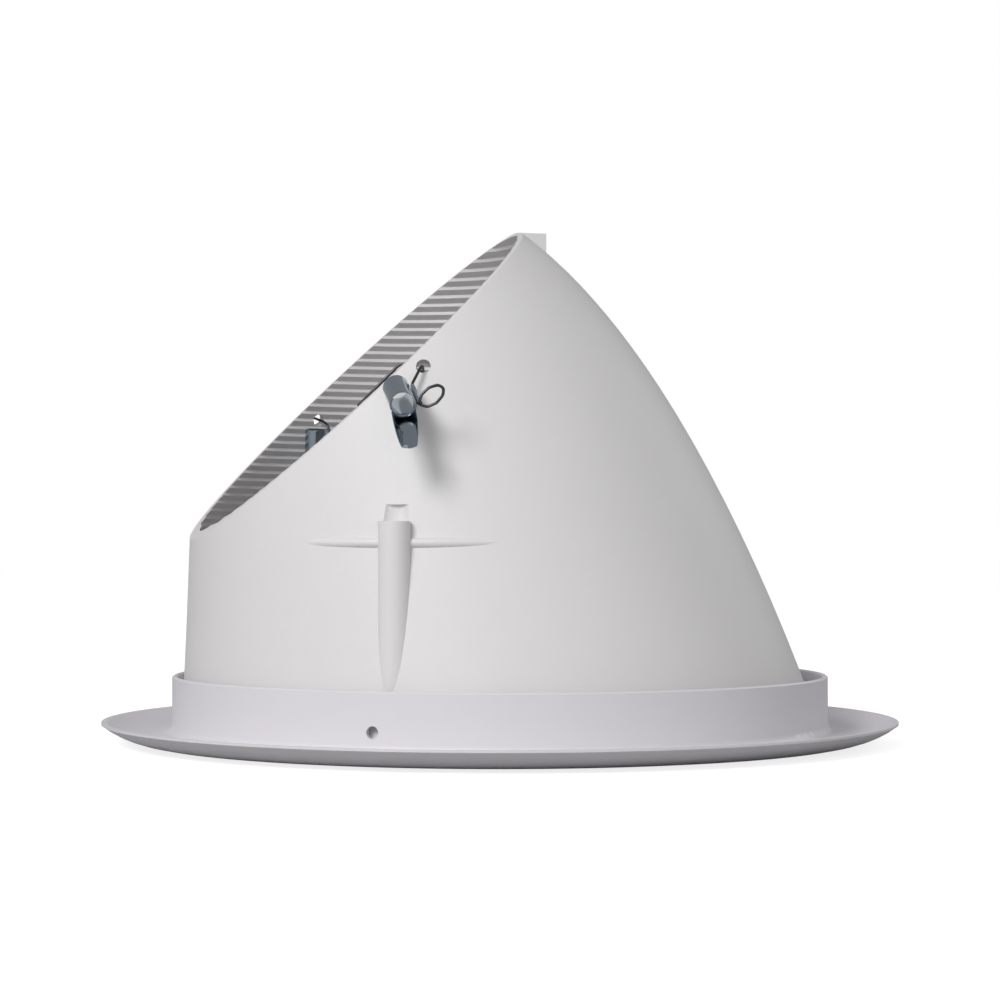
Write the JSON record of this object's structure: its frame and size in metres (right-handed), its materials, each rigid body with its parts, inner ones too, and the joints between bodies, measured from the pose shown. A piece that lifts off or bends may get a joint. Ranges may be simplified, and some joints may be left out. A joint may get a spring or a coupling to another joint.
{
  "type": "sloped ceiling downlight trim",
  "caption": "Hooded white baffle trim for a recessed downlight in a steep ceiling, with a dished flange, a short collar and wire clips holding coiled strip springs.",
  "frame": {"origin": "on the flange's axis, on the surface it stands on", "axes": "+Z along the flange's axis towards the hood; the lamp mouth faces -X and up"},
  "size_m": [0.235, 0.235, 0.1505],
  "materials": {
    "white_plastic": "satin moulded",
    "spring_steel": "bright zinc plated strip",
    "wire_steel": "dark drawn wire",
    "screw_steel": "zinc plated"
  },
  "bodies": {
    "trim": {"reflector_shell": "white_plastic", "trim_ring": "white_plastic", "ring_screw_near": "screw_steel", "ring_screw_far": "screw_steel"},
    "near_hanger": {"near_hanger_wire": "wire_steel"},
    "near_spring": {"near_strip_spring": "spring_steel"},
    "far_hanger": {"far_hanger_wire": "wire_steel"},
    "far_spring": {"far_strip_spring": "spring_steel"}
  },
  "joints": [
    {"name": "near_hanger_swing", "type": "hinge", "parent": "trim", "child": "near_hanger", "pos_m": [-0.03753, -0.06501, 0.106], "axis": [-0.2243, -0.917, 0.3298], "range_deg": [-8, 8]},
    {"name": "near_spring_turn", "type": "hinge", "parent": "near_hanger", "child": "near_spring", "pos_m": [-0.04231, -0.08236, 0.09494], "axis": [-0.0413, -0.9166, -0.3977], "range_deg": [-90, 3]},
    {"name": "far_hanger_swing", "type": "hinge", "parent": "trim", "child": "far_hanger", "pos_m": [-0.04488, 0.0653, 0.098], "axis": [0.3486, -0.8984, -0.2673], "range_deg": [-8, 8]},
    {"name": "far_spring_turn", "type": "hinge", "parent": "far_hanger", "child": "far_spring", "pos_m": [-0.0417, 0.05942, 0.08163], "axis": [0.0025, -0.1365, 0.9906], "range_deg": [0, 30]}
  ]
}
